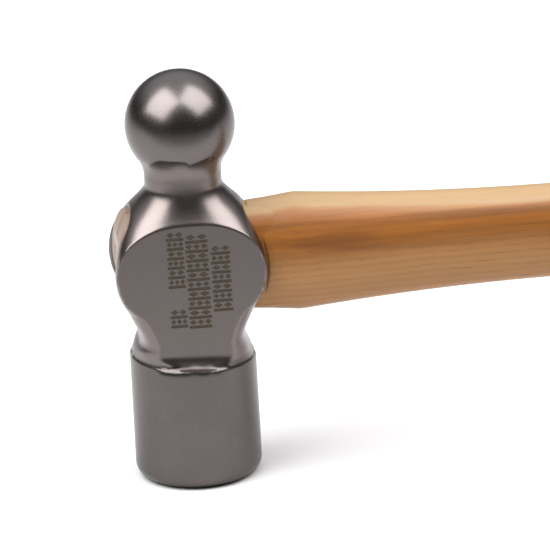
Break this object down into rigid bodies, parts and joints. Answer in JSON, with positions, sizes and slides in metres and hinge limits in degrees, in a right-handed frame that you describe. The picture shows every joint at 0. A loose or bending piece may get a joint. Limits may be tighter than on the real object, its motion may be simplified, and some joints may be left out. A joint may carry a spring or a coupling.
{
  "type": "ball peen hammer",
  "caption": "Ball peen hammer: forged steel head with a round face and a ball, on a wedged hickory handle.",
  "frame": {"origin": "centre of the striking face, which the hammer stands on", "axes": "+Z along the head from the striking face to the ball, +X along the handle from the head to the butt, +Y square to both, through the cheeks"},
  "size_m": [0.3994, 0.039, 0.131],
  "materials": {
    "forged_steel": "turned and ground forging, satin",
    "hickory": "clear lacquer, satin",
    "wedge_wood": "sawn and sanded",
    "wedge_steel": "ground flush"
  },
  "bodies": {
    "root": {"head": "forged_steel", "handle": "hickory", "wood_wedge": "wedge_wood", "steel_wedge_upper": "wedge_steel", "steel_wedge_lower": "wedge_steel"}
  },
  "joints": []
}
